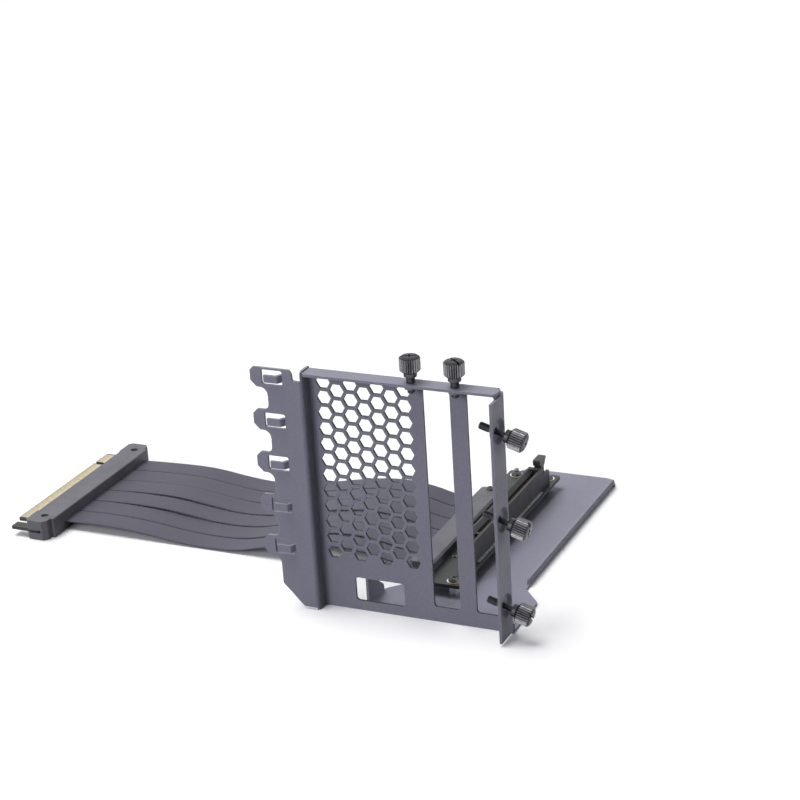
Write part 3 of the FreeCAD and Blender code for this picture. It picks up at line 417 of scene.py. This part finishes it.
def dress_cad():
    for name, obj in nodes.items():
        if "custom_normal" in obj.data.attributes:
            obj.data.attributes.remove(obj.data.attributes["custom_normal"])
        for polygon in obj.data.polygons:
            polygon.use_smooth = True
        dress(obj, SLOT_OF[name])
        if name in EDGE_ROUND_MM:
            soften(obj, EDGE_ROUND_MM[name] * MM)


# Mesh helpers


def skin(mesh, rings, looped=False):
    """Faces between neighbouring rings of points; unless they loop, the two ends are capped."""
    following = rings[1:] + rings[:1] if looped else rings[1:]
    for low, high in zip(rings, following):
        for k in range(len(low)):
            n = (k + 1) % len(low)
            mesh.faces.new((low[k], low[n], high[n], high[k]))
    if not looped:
        mesh.faces.new(tuple(reversed(rings[0])))
        mesh.faces.new(tuple(rings[-1]))


def lathe(mesh, profile, steps, radius_at=None):
    """Turns (radius, height) points about Z; radius_at may change each radius by angle."""
    rings = []
    for r, z in profile:
        ring = []
        for k in range(steps):
            angle = 2 * math.pi * k / steps
            reach = radius_at(r, z, angle) if radius_at else r
            ring.append(mesh.verts.new(mm(reach * math.cos(angle), reach * math.sin(angle), z)))
        rings.append(ring)
    skin(mesh, rings)


def bar(mesh, low, high):
    """A box between two corners in metres."""
    made = bmesh.ops.create_cube(mesh, size=1.0)["verts"]
    size = high - low
    middle = (high + low) / 2
    for v in made:
        v.co = v.co * size + middle
    return made


def to_mesh(name, mesh, smooth=True):
    bmesh.ops.recalc_face_normals(mesh, faces=mesh.faces)
    data = bpy.data.meshes.new(name)
    mesh.to_mesh(data)
    mesh.free()
    for polygon in data.polygons:
        polygon.use_smooth = smooth
    data.set_sharp_from_angle(angle=math.radians(SMOOTH_DEG))
    return data


def carved(name, solid, cutters):
    """The solid less each cutter, all bmeshes, as a mesh."""
    body = add_object(name + "_body", to_mesh(name + "_body", solid))
    tools = [add_object(name + "_tool", to_mesh(name + "_tool", cutter)) for cutter in cutters]
    for tool in tools:
        cut = body.modifiers.new("cut", "BOOLEAN")
        cut.object = tool
        cut.operation = "DIFFERENCE"
        cut.solver = "EXACT"
    bpy.context.view_layer.update()
    shaped = body.evaluated_get(bpy.context.evaluated_depsgraph_get())
    data = bpy.data.meshes.new_from_object(shaped)
    for obj in (body, *tools):
        bpy.data.objects.remove(obj)
    data.set_sharp_from_angle(angle=math.radians(SMOOTH_DEG))
    return data


def cross_cutters(reach, half, narrow, bottom, mouth, top):
    """Two crossed bars whose ends slope inwards to the bottom of a drive recess."""
    cutters = []
    for crosswise in (False, True):
        cutter = bmesh.new()
        for v in bar(cutter, mm(-reach, -half, bottom), mm(reach, half, top)):
            if v.co.z < mouth * MM:
                v.co.x *= narrow
            if crosswise:
                v.co.x, v.co.y = -v.co.y, v.co.x
        cutters.append(cutter)
    return cutters


def joined(name, *parts):
    """Several meshes as one."""
    whole = bmesh.new()
    for data in parts:
        whole.from_mesh(data)
    data = bpy.data.meshes.new(name)
    whole.to_mesh(data)
    whole.free()
    data.set_sharp_from_angle(angle=math.radians(SMOOTH_DEG))
    return data


def turned(data, degrees):
    data.transform(Matrix.Rotation(math.radians(degrees), 4, "Z"))
    return data


# Hand screws

# (radius, height above the head's foot) and (radius, depth below its top)
HEAD_FOOT = [(2.9, 0.0), (3.55, 0.0), (4.0, 0.35), (4.05, 0.52), (HEAD_R, 0.8)]
HEAD_TOP = [(HEAD_R, 0.95), (4.05, 0.52), (4.0, 0.45), (3.5, 0.12), (3.2, 0.0), (1.0, 0.0)]
HEAD_PLAIN_END = 0.5
RIB_STEPS = 6
RIB_ROUNDING = 0.8
DRIVE_SLOT_HALF_W = 0.5
DRIVE_SLOT_DEPTH = 1.5
DRIVE_CROSS_REACH = 2.0
DRIVE_CROSS_HALF_W = 0.42
DRIVE_CROSS_NARROW = 0.45
DRIVE_CROSS_DEPTH = 2.2
CUTTER_SPARE = 1.0
COLLAR_R = 2.9
COLLAR_L = 2.2
COLLAR_STEPS = 48
THREAD_R = 1.72
THREAD_DEPTH = 0.26
THREAD_PITCH = 0.6
THREAD_ROWS = 10
THREAD_STEPS = 40
THREAD_FADE_START = 0.12
THREAD_FADE_END = 0.18
THREAD_CREST = 1.25


def knurled_head(name, start):
    """Straight-knurled head with chamfered ends, and a cross with a slot in its top."""
    top = start + HEAD_L

    def ribbed(r, z, angle):
        if z < start + HEAD_PLAIN_END or z > top - HEAD_PLAIN_END:
            return r
        saw = abs((angle * RIBS / (2 * math.pi)) % 1.0 - 0.5) * 2
        return r - RIB_DEPTH * saw ** RIB_ROUNDING

    profile = [(r, start + up) for r, up in HEAD_FOOT] + [(r, top - down) for r, down in HEAD_TOP]
    solid = bmesh.new()
    lathe(solid, profile, RIBS * RIB_STEPS, ribbed)
    slot = bmesh.new()
    reach = HEAD_R * 1.1
    slot_low = mm(-reach, -DRIVE_SLOT_HALF_W, top - DRIVE_SLOT_DEPTH)
    bar(slot, slot_low, mm(reach, DRIVE_SLOT_HALF_W, top + CUTTER_SPARE))
    cross = cross_cutters(
        DRIVE_CROSS_REACH, DRIVE_CROSS_HALF_W, DRIVE_CROSS_NARROW,
        top - DRIVE_CROSS_DEPTH, top, top + CUTTER_SPARE,
    )
    return carved(name, solid, [slot, *cross])


def threaded_rod(name, start, length):
    """A shank whose helical thread fades at both ends."""
    rows = max(8, int(length / THREAD_PITCH * THREAD_ROWS))

    def helical(r, z, angle):
        along = (z - start) / length
        fade = max(0.0, min(1.0, along / THREAD_FADE_START, (1.0 - along) / THREAD_FADE_END))
        tooth = abs((z / THREAD_PITCH - angle / (2 * math.pi)) % 1.0 - 0.5) * 2
        return r - THREAD_DEPTH * (1.0 - fade * min(1.0, THREAD_CREST * tooth))

    mesh = bmesh.new()
    profile = [(THREAD_R, start + length * k / rows) for k in range(rows + 1)]
    lathe(mesh, profile, THREAD_STEPS, helical)
    return to_mesh(name, mesh)


def neck_and_collar(name, start, neck_r, neck_l):
    """Plain neck with a fillet into the collar under the head."""
    mesh = bmesh.new()
    top = start + neck_l
    profile = [
        (neck_r, start), (neck_r, top - 0.5), (neck_r + 0.12, top - 0.18), (neck_r + 0.5, top),
        (COLLAR_R - 0.3, top), (COLLAR_R, top + 0.3), (COLLAR_R, top + COLLAR_L - 0.35),
        (COLLAR_R - 0.25, top + COLLAR_L - 0.15), (COLLAR_R - 0.25, top + COLLAR_L),
    ]
    lathe(mesh, profile, COLLAR_STEPS)
    return to_mesh(name, mesh)


def hand_screw(node, body, thread, neck, turn, place):
    """One hand screw from its (start, length) thread and (radius, length) neck, put in place."""
    thread_start, thread_l = thread
    neck_r, neck_l = neck
    neck_start = thread_start + thread_l
    head_start = neck_start + neck_l + COLLAR_L
    data = joined(
        node + "_detailed",
        threaded_rod(node + "_thread", thread_start, thread_l),
        neck_and_collar(node + "_neck", neck_start, neck_r, neck_l),
        knurled_head(node + "_head", head_start),
    )
    obj = add_object(node + "_detailed", turned(data, turn))
    obj.matrix_world = place
    finish_piece(obj, body, "screw_black", node)


# name, place along X or Z, turn in degrees
TOP_SCREWS = (("left", 51.1, 24.0), ("right", 71.42, -38.0))
SIDE_SCREWS = (("lower", 16.86, 50.0), ("middle", 57.5, 12.0), ("upper", 98.14, -31.0))
FLANGE_TOP = 115.0
TOP_SCREW_Y = -4.8
TOP_THREAD = (0.0, 4.6)
TOP_NECK = (1.9, 2.8)
SIDE_SCREW_X = 89.4
SIDE_SCREW_Y = -7.0
SIDE_THREAD = (-6.9, 5.0)
SIDE_NECK = (1.15, 6.9)
DROOP_DEG = 17.0


def make_hand_screws():
    for name, x, turn in TOP_SCREWS:
        place = Matrix.Translation(at(x, TOP_SCREW_Y, FLANGE_TOP - TOP_THREAD[1]))
        hand_screw("top_thumbscrew_" + name, "top_screw_" + name, TOP_THREAD, TOP_NECK, turn, place)
    tip = Matrix.Rotation(math.radians(90.0 + DROOP_DEG), 4, "Y")
    for name, z, turn in SIDE_SCREWS:
        place = Matrix.Translation(at(SIDE_SCREW_X, SIDE_SCREW_Y, z)) @ tip
        hand_screw("side_thumbscrew_" + name, "side_screw_" + name, SIDE_THREAD, SIDE_NECK, turn, place)


# Small screws

# shank radius and length, head radius and height
BOARD_SCREW = (1.5, 5.1, 2.7, 1.7)
COVER_SCREW = (1.1, 4.4, 2.0, 1.3)
PLUG_SCREW = (1.1, 3.6, 1.7, 0.9)
BOARD_SCREWS_AT = [(36.0, 25.5), (52.6, 25.5), (36.0, 145.0), (52.6, 145.0)]
COVER_SCREWS_AT = [(34.0, 32.35), (34.0, 115.25)]
PLUG_SCREWS_AT = [(-166.8, 26.8), (-166.8, 113.0)]
BOARD_TOP = 7.8
COVER_TOP = 12.2
PLUG_TOP = 10.0
PLUG_RECESS = 1.4
PAN_STEPS = 40
DOME_STEPS = 6
RIM_SHARE = 0.18
CROWN_SHARE = 0.35
FIRST_TURN_DEG = 17.0
NEXT_TURN_DEG = 41.0


def pan_head(name, size, turn):
    """Domed cross-head screw; its own zero is under the head."""
    radius, length, head_r, head_h = size
    profile = [
        (radius * 0.7, -length), (radius, -length + 0.3), (radius, 0.0),
        (head_r * 0.94, 0.0), (head_r, head_h * RIM_SHARE),
    ]
    for k in range(1, DOME_STEPS + 1):
        angle = math.radians(90 * k / DOME_STEPS)
        r = head_r * (CROWN_SHARE + (1 - CROWN_SHARE) * math.cos(angle))
        z = head_h * (RIM_SHARE + (1 - RIM_SHARE) * math.sin(angle))
        profile.append((r, z))
    solid = bmesh.new()
    lathe(solid, profile, PAN_STEPS)
    cross = cross_cutters(
        head_r * 0.58, head_r * 0.13, 0.5, head_h * 0.25, head_h * 0.5, head_h + CUTTER_SPARE,
    )
    return turned(carved(name, solid, cross), turn)


def screw_group(node, size, places, under_head):
    parts = []
    for k, (x, y) in enumerate(places):
        data = pan_head(f"{node}_{k}", size, FIRST_TURN_DEG + NEXT_TURN_DEG * k)
        data.transform(Matrix.Translation(at(x, y, under_head)))
        parts.append(data)
    obj = add_object(node + "_detailed", joined(node + "_detailed", *parts))
    return finish_piece(obj, "bracket", "small_screw_steel", node)


def make_small_screws():
    """All the small screws; the plug's two are given back."""
    screw_group("board_screws", BOARD_SCREW, BOARD_SCREWS_AT, BOARD_TOP)
    screw_group("socket_cover_screws", COVER_SCREW, COVER_SCREWS_AT, COVER_TOP)
    return screw_group("plug_screws", PLUG_SCREW, PLUG_SCREWS_AT, PLUG_TOP - PLUG_RECESS)


# Contacts, one to a millimetre

CONTACTS = 82
EDGE_LEFT = -184.8
EDGE_NEAR_Y = 29.8
EDGE_L = 84.6
EDGE_TOP = 5.0
EDGE_T = 1.6
EDGE_KEY_FROM_FAR = 12.4
EDGE_KEY_CLEAR = 1.5
FINGER_START = 0.5
FINGER_END = 7.9
FINGER_HALF_W = 0.42
FINGER_T = 0.08
FINGER_LEAD_SHARE = 0.6


def make_fingers():
    """Gold fingers on both faces of the plug's board, each with a clipped leading end."""
    mesh = bmesh.new()
    x0 = EDGE_LEFT + FINGER_START
    x1 = EDGE_LEFT + FINGER_END
    lead = at(x0, 0.0, 0.0).x
    key = EDGE_NEAR_Y + EDGE_L - EDGE_KEY_FROM_FAR
    under = EDGE_TOP - EDGE_T
    faces = ((EDGE_TOP, EDGE_TOP + FINGER_T), (under - FINGER_T, under))
    for k in range(CONTACTS):
        y = EDGE_NEAR_Y + (EDGE_L - CONTACTS) / 2 + k + 0.5
        if abs(y - key) < EDGE_KEY_CLEAR:
            continue
        middle = at(0.0, y, 0.0).y
        for low, high in faces:
            for v in bar(mesh, at(x0, y - FINGER_HALF_W, low), at(x1, y + FINGER_HALF_W, high)):
                if abs(v.co.x - lead) < TOUCH_M:
                    v.co.y = middle + (v.co.y - middle) * FINGER_LEAD_SHARE
    obj = add_object("edge_finger_rows", to_mesh("edge_finger_rows", mesh, False))
    return finish_piece(obj, "bracket", "contact_gold", "edge_fingers")


SLOT_X = 51.7
SLOT_HALF_W = 3.75
SLOT_FIRST_Y = 46.5
SLOT_KEY_LOW = 55.8
SLOT_KEY_HIGH = 58.3
SLOT_CONTACT_HALF_W = 0.22
# (distance from the groove's middle, height)
SPRING = ((0.9, 10.8), (0.9, 16.2), (0.62, 14.6), (0.62, 13.4))


def make_slot_contacts():
    """Sprung contacts along both walls of the card socket's groove."""
    mesh = bmesh.new()
    for k in range(CONTACTS):
        y = SLOT_FIRST_Y + k
        if SLOT_KEY_LOW < y < SLOT_KEY_HIGH:
            continue
        for side in (-1, 1):
            ends = []
            for half in (-SLOT_CONTACT_HALF_W, SLOT_CONTACT_HALF_W):
                ends.append([mesh.verts.new(at(SLOT_X + side * out, y + half, z)) for out, z in SPRING])
            skin(mesh, ends)
    obj = add_object("slot_contact_springs", to_mesh("slot_contact_springs", mesh, False))
    finish_piece(obj, "bracket", "contact_gold")


FOOT_L = 1.2
FOOT_INSIDE = 0.1
FOOT_H = 0.45
FOOT_TOE_H = 0.12


def make_slot_feet():
    """Tinned feet of the card socket's contacts, soldered along both its sides."""
    mesh = bmesh.new()
    floor_m = at(0.0, 0.0, BOARD_TOP).z
    toe_top_m = at(0.0, 0.0, BOARD_TOP + FOOT_TOE_H).z
    for k in range(CONTACTS):
        near = SLOT_FIRST_Y + k - SLOT_CONTACT_HALF_W
        far = SLOT_FIRST_Y + k + SLOT_CONTACT_HALF_W
        for side in (-1, 1):
            wall = SLOT_X + side * SLOT_HALF_W
            toe = SLOT_X + side * (SLOT_HALF_W + FOOT_L)
            toe_m = at(toe, 0.0, 0.0).x
            low, high = sorted((wall - side * FOOT_INSIDE, toe))
            for v in bar(mesh, at(low, near, BOARD_TOP), at(high, far, BOARD_TOP + FOOT_H)):
                if abs(v.co.x - toe_m) < TOUCH_M and v.co.z > floor_m + TOUCH_M:
                    v.co.z = toe_top_m
    obj = add_object("slot_solder_feet", to_mesh("slot_solder_feet", mesh, False))
    finish_piece(obj, "bracket", "standoff_steel")


# Small parts on the socket's board

CHIPS = 14
CHIP_X = 43.4
CHIP_FIRST_Y = 48.0
CHIP_STEP = 5.7
CHIP_ROUND = 0.08
CHIP_BODY_HALF_L = 0.75
CHIP_BODY_HALF_W = 0.42
CHIP_BODY_H = 0.5
CHIP_END_FROM = 0.7
CHIP_END_TO = 1.1
CHIP_END_HALF_W = 0.45
CHIP_END_H = 0.52
RING_STEPS = 40
# (radius, height)
RING_SECTION = ((2.5, 0.0), (3.4, 0.0), (3.36, 0.05), (2.5, 0.05))


def chip_bar(mesh, y, x_low, x_high, half_w, height):
    low = at(CHIP_X + x_low, y - half_w, BOARD_TOP)
    bar(mesh, low, at(CHIP_X + x_high, y + half_w, BOARD_TOP + height))


def make_board_parts():
    """Small chip parts between the cable cover and the socket: dark bodies with tinned ends."""
    bodies = bmesh.new()
    ends = bmesh.new()
    for k in range(CHIPS):
        y = CHIP_FIRST_Y + CHIP_STEP * k
        chip_bar(bodies, y, -CHIP_BODY_HALF_L, CHIP_BODY_HALF_L, CHIP_BODY_HALF_W, CHIP_BODY_H)
        chip_bar(ends, y, -CHIP_END_TO, -CHIP_END_FROM, CHIP_END_HALF_W, CHIP_END_H)
        chip_bar(ends, y, CHIP_END_FROM, CHIP_END_TO, CHIP_END_HALF_W, CHIP_END_H)
    pieces = (
        ("board_chip_bodies", bodies, "socket_plastic"),
        ("board_chip_ends", ends, "standoff_steel"),
    )
    for name, mesh, slot_name in pieces:
        obj = add_object(name, to_mesh(name, mesh, False))
        edge = obj.modifiers.new("edge", "BEVEL")
        edge.width = CHIP_ROUND * MM
        edge.segments = 2
        finish_piece(obj, "bracket", slot_name)


def make_screw_rings():
    """Gold plated rings on the board round its four screws."""
    mesh = bmesh.new()
    for x, y in BOARD_SCREWS_AT:
        rings = []
        for k in range(RING_STEPS):
            angle = 2 * math.pi * k / RING_STEPS
            out = mm(math.cos(angle), math.sin(angle), 0.0)
            rings.append([mesh.verts.new(at(x, y, BOARD_TOP + z) + out * r) for r, z in RING_SECTION])
        skin(mesh, rings, looped=True)
    obj = add_object("board_screw_rings", to_mesh("board_screw_rings", mesh))
    finish_piece(obj, "bracket", "contact_gold")


# Ribbon cable

STRIPS = 6
STRIP_W = 12.4
STRIP_T = 1.0
STRIP_STEP = 13.2
STRIP_NEAR_Y = 34.6
SLEEVE_W = 12.7
SLEEVE_EDGE = 0.45
SLEEVE_EDGE_STEPS = 4
SLEEVE_EDGE_FLAT = 0.12
SLEEVE_EDGE_DROP = 0.08
SLEEVE_RIDGES = 14
SLEEVE_RIDGE_DEPTH = 0.05
ROUTE_START = (28.0, 7.0)
ROUTE_END = (-160.4, 4.2)
# along X: height of the nearest and of the furthest strip, then the share of each strip's own
# lift beside the plate and the share of its own lift behind the plate
ROUTE = [
    (20.0, 7.3, 7.3, 0.0, 0.0), (6.0, 10.9, 10.4, 0.0, 0.8), (-10.0, 12.4, 11.9, 0.0, 1.0),
    (-26.0, 10.4, 10.2, 0.0, 1.0), (-40.0, 7.8, 7.6, 0.0, 0.8), (-52.0, 5.2, 5.4, 0.0, 0.4),
    (-66.0, 1.3, 3.4, 0.0, 0.0), (-83.0, 0.65, 1.4, 0.2, 0.0), (-100.0, 1.5, 2.1, 1.0, 0.0),
    (-118.0, 3.7, 4.6, 1.0, 0.0), (-136.0, 4.7, 4.9, 0.5, 0.0), (-150.0, 4.6, 4.6, 0.2, 0.0),
]
LIFTS_BESIDE = [0.2, 0.1, 1.0, 1.75, 1.2, 0.9]
LIFTS_BEHIND = [-0.6, 0.2, 0.1, 0.9, 0.8, 1.0]


def route_line(name, points):
    """Points along the smooth spline that has the route's points as its control points."""
    curve = bpy.data.curves.new(name, "CURVE")
    curve.dimensions = "3D"
    curve.resolution_u = 10
    spline = curve.splines.new("NURBS")
    spline.points.add(len(points) - 1)
    for control, point in zip(spline.points, points):
        control.co = (*point, 1.0)
    spline.order_u = 3
    spline.use_endpoint_u = True
    holder = add_object(name, curve)
    bpy.context.view_layer.update()
    data = bpy.data.meshes.new_from_object(holder)
    line = [v.co.copy() for v in data.vertices]
    bpy.data.objects.remove(holder)
    bpy.data.meshes.remove(data)
    return line


def strip_section():
    """Rounded edges and shallow ridges over the wires, as (across, up)."""
    half = SLEEVE_W / 2
    thick = STRIP_T / 2
    inner = half - SLEEVE_EDGE
    rise = thick - SLEEVE_EDGE_FLAT - SLEEVE_EDGE_DROP
    edge = []
    for k in range(SLEEVE_EDGE_STEPS + 1):
        angle = math.radians(90 * k / SLEEVE_EDGE_STEPS)
        edge.append((inner + SLEEVE_EDGE * math.sin(angle), SLEEVE_EDGE_FLAT + rise * math.cos(angle)))
    ridges = []
    for k in range(1, SLEEVE_RIDGES):
        up = thick - SLEEVE_RIDGE_DEPTH if k % 2 else thick
        ridges.append((-inner + 2 * inner * k / SLEEVE_RIDGES, up))
    upper = [(-u, v) for u, v in reversed(edge)] + ridges + edge
    return upper + [(u, -v) for u, v in reversed(upper)]


def strip_route(index):
    """One strip's route points, from the socket's cover to the plug."""
    y = STRIP_NEAR_Y + index * STRIP_STEP + STRIP_W / 2
    share = index / (STRIPS - 1)
    heights = [ROUTE_START]
    for x, near, far, beside, behind in ROUTE:
        lift = LIFTS_BESIDE[index] * beside + LIFTS_BEHIND[index] * behind
        heights.append((x, near + (far - near) * share + lift))
    heights.append(ROUTE_END)
    return [at(x, y, z) for x, z in heights]


def make_strip(index):
    """One strip's sleeve along its smooth line, and that line."""
    name = f"ribbon_strip_{index + 1}"
    line = route_line(name + "_line", strip_route(index))
    section = strip_section()
    across = Vector((0.0, 1.0, 0.0))
    mesh = bmesh.new()
    rings = []
    for k, point in enumerate(line):
        ahead = line[min(k + 1, len(line) - 1)] - line[max(k - 1, 0)]
        up = ahead.normalized().cross(across).normalized()
        if up.z < 0:
            up = -up
        rings.append([mesh.verts.new(point + across * (u * MM) + up * (v * MM)) for u, v in section])
    skin(mesh, rings)
    obj = add_object(name + "_sleeve", to_mesh(name + "_sleeve", mesh))
    finish_piece(obj, "bracket", "ribbon_sleeve", name)
    return obj, line


def make_ribbon():
    for index in range(STRIPS):
        obj, line = make_strip(index)


# Stage

FLOOR_HALF_M = 12.0
FLOOR_DROP_M = 0.0001
FLOOR_BOUNCE = (0.12, 0.12, 0.13)
PAPER = ((0.95, 0.95, 0.96), (0.97, 0.97, 0.98))
ROOM_COLOR = (0.97, 0.98, 1.0, 1.0)
ROOM_BRIGHT_SIDE = Vector((-0.65, 0.5, 0.57)).normalized()
# how far a direction points to the bright side, lowest and highest, and the light there
ROOM_RAMP = (-0.2, 0.9, 0.01, 0.58)
MIRROR_RAMP = (-0.6, 0.9, 0.45, 1.0)
SUN_SPREAD_DEG = 36.0


def make_floor():
    """Pale paper to the eye and in reflections, and a darker one that throws little light back."""
    mesh = bmesh.new()
    bmesh.ops.create_grid(mesh, x_segments=1, y_segments=1, size=FLOOR_HALF_M)
    floor = add_object("floor", to_mesh("floor", mesh, False))
    floor.location.z = -FLOOR_DROP_M
    t = paint("floor_paper")
    t.set(Roughness=0.9, Specular_IOR_Level=0.1)
    path = t.add("ShaderNodeLightPath").outputs
    seen = t.math("MAXIMUM", path["Is Camera Ray"], path["Is Glossy Ray"])
    seen = t.math("MAXIMUM", seen, path["Is Transmission Ray"])
    t.feed(t.mix(seen, FLOOR_BOUNCE, t.mix(t.cloud(6.0), *PAPER)), "Base Color")
    floor.data.materials.append(t.owner)


def make_world():
    """Soft room light, bright behind, above and to the left; the camera sees white."""
    scene.world = bpy.data.worlds.new("studio")
    t = Tree(scene.world, "Background")
    toward = t.add("ShaderNodeVectorMath", operation="DOT_PRODUCT")
    t.join(t.coordinates["Generated"], toward.inputs[0])
    toward.inputs[1].default_value = ROOM_BRIGHT_SIDE
    room = t.remap(toward.outputs["Value"], *ROOM_RAMP)
    mirrored = t.remap(toward.outputs["Value"], *MIRROR_RAMP)
    path = t.add("ShaderNodeLightPath").outputs
    bent = t.math("MAXIMUM", path["Is Glossy Ray"], path["Is Transmission Ray"])
    shown = t.math("MAXIMUM", t.math("MULTIPLY", bent, mirrored), path["Is Camera Ray"])
    t.feed(t.math("MAXIMUM", shown, room), "Strength")
    t.set(Color=ROOM_COLOR)


def add_light(name, kind, direction, power, color):
    data = bpy.data.lights.new(name, kind)
    data.energy = power
    data.color = color
    light = add_object(name, data)
    light.rotation_euler = Vector(direction).to_track_quat("-Z", "Y").to_euler()
    return light


def area_light(name, place, aim, size, power, color):
    light = add_light(name, "AREA", Vector(aim) - Vector(place), power, color)
    light.location = place
    light.data.shape = "RECTANGLE"
    light.data.size, light.data.size_y = size


def make_lights():
    sun = add_light("overhead", "SUN", (0.28, 0.06, -1.0), 2.35, (1.0, 0.99, 0.98))
    sun.data.angle = math.radians(SUN_SPREAD_DEG)
    sun.visible_glossy = False
    area_light(
        "front_fill", place=(-0.4, -1.15, 0.5), aim=(-0.02, -0.05, 0.06),
        size=(0.6, 0.6), power=7.3, color=(0.95, 0.96, 1.0),
    )
    area_light(
        "right", place=(1.05, -0.02, 0.26), aim=(0.04, -0.085, 0.06),
        size=(0.5, 0.3), power=1.9, color=(0.98, 0.98, 1.0),
    )


dress_cad()
make_hand_screws()
plug_screws = make_small_screws()
fingers = make_fingers()
make_slot_contacts()
make_slot_feet()
make_board_parts()
make_screw_rings()
make_ribbon()
make_floor()
make_world()
make_lights()
make_camera()
scene.view_settings.view_transform = "Standard"
